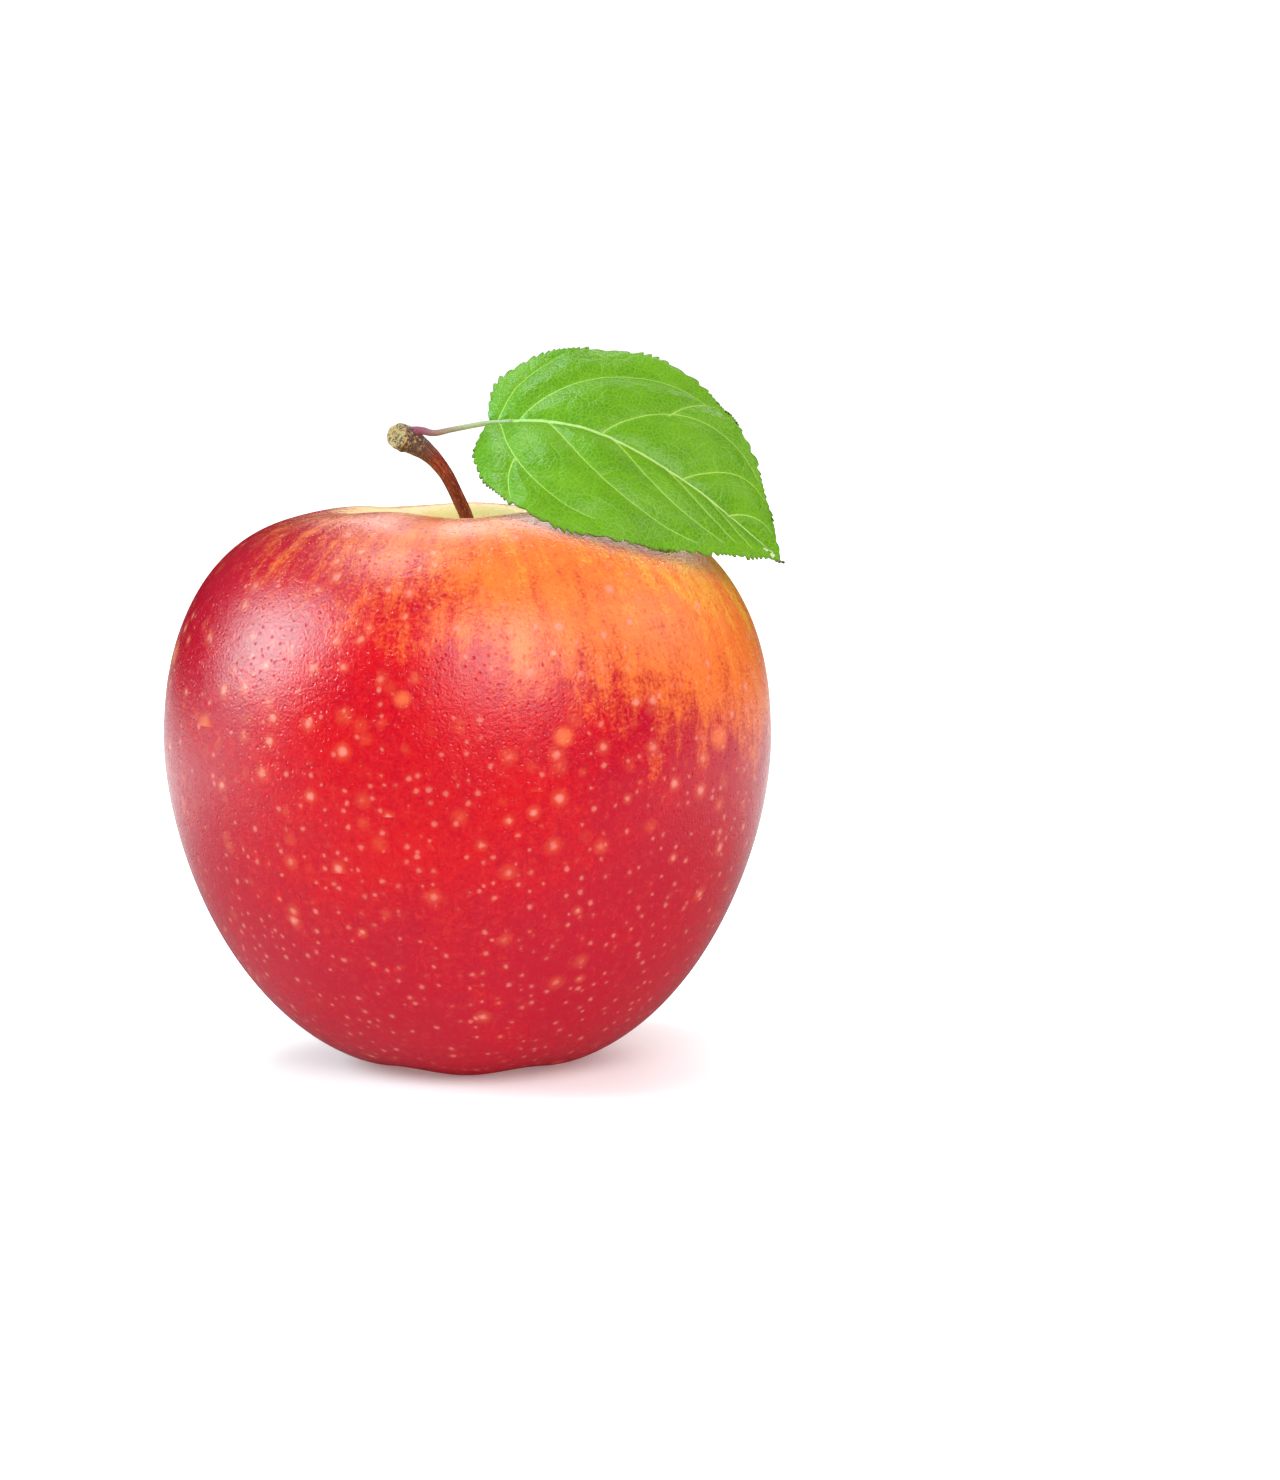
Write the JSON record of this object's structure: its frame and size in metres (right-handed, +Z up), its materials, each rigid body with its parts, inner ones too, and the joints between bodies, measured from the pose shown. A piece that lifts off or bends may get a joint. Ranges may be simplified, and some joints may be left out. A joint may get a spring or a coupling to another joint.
{
  "type": "apple",
  "caption": "Fresh red apple with a woody stem and one serrated green leaf, resting upright on the lobes round its calyx.",
  "frame": {"origin": "on the table, under the core, at the middle of the bounding box's bottom", "axes": "+Z up along the core towards the stem, -Y towards the viewer of the front, +X to the right, the side the leaf is on"},
  "size_m": [0.0811, 0.08, 0.0943],
  "materials": {
    "skin": "waxy red apple skin with an orange and yellow flush and pale dots",
    "stem_bark": "thin reddish-brown bark with a corky scar at its end",
    "leaf": "fresh green leaf with a soft sheen and pale veins",
    "dried_calyx": "dried, dull, brown-grey",
    "dried_filament": "dried, dull, dark brown"
  },
  "bodies": {
    "root": {"fruit": "skin", "stem": "stem_bark", "leaf": "leaf", "sepal_1": "dried_calyx", "sepal_2": "dried_calyx", "sepal_3": "dried_calyx", "sepal_4": "dried_calyx", "sepal_5": "dried_calyx", "stamen_01": "dried_filament", "stamen_02": "dried_filament", "stamen_03": "dried_filament", "stamen_04": "dried_filament", "stamen_05": "dried_filament", "stamen_06": "dried_filament", "stamen_07": "dried_filament", "stamen_08": "dried_filament", "stamen_09": "dried_filament", "stamen_10": "dried_filament", "style": "dried_filament"}
  },
  "joints": []
}
